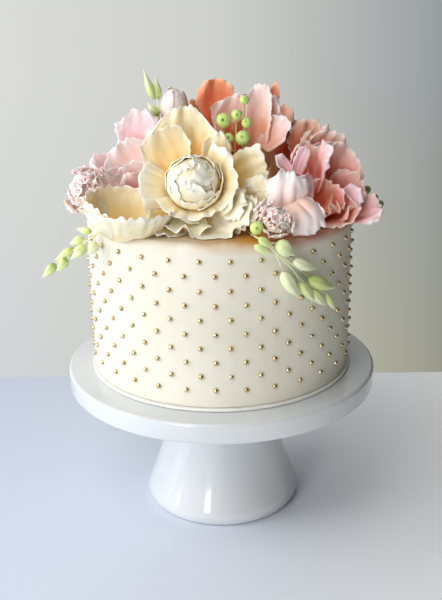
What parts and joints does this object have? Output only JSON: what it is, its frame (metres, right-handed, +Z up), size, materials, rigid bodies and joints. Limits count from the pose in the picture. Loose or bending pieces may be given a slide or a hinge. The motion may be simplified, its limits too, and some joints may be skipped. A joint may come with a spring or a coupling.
{
  "type": "single-tier cake",
  "caption": "Round one-tier cake studded with gold sugar pearls and topped with a posy of sugar peonies, berries and buds, on a white pedestal stand.",
  "frame": {"origin": "the middle of the stand's flat underside, on the surface it stands on", "axes": "+Z up, out of the foot's flat underside; -Y is the front of the cake, where the ivory flower is; +X is to its right seen from the front"},
  "size_m": [0.2651, 0.256, 0.365],
  "materials": {
    "ceramic": "glazed white ceramic",
    "white_paste": "white covered board",
    "ivory_paste": "smooth ivory sugar paste with gold sugar pearls",
    "ivory_petal": "dusted sugar petals, ivory with warm hearts",
    "pink_petal": "dusted sugar petals, pale pink",
    "blush_petal": "dusted sugar petals, blush to coral",
    "coral_petal": "dusted sugar petals, coral pink",
    "blossom_pink": "tiny sugar blossoms and a bud",
    "berry_green": "satin green sugar berries",
    "bud_green": "satin pale green sugar buds on wires",
    "leaf_green": "darker green sugar berries"
  },
  "bodies": {
    "root": {"cake_stand": "ceramic", "cake_board": "white_paste", "cake_body": "ivory_paste", "ivory_peony": "ivory_petal", "front_pink_petal": "pink_petal", "coral_peony": "coral_petal", "pink_peony": "pink_petal", "blush_peony": "blush_petal", "rear_pink_peony": "pink_petal", "rear_ivory_peony": "ivory_petal", "pink_bud": "blossom_pink", "blossoms_left": "blossom_pink", "blossoms_right": "blossom_pink", "berry_high_left": "berry_green", "berry_high_mid": "berry_green", "berry_high_right": "berry_green", "berry_low_left": "berry_green", "berry_low_right": "berry_green", "berry_top": "berry_green", "berry_front": "berry_green", "berry_dark_high": "leaf_green", "berry_dark_mid": "leaf_green", "berry_dark_low": "leaf_green", "bud_spray_left": "bud_green", "bud_spray_right": "bud_green", "bud_spray_top": "bud_green"}
  },
  "joints": []
}
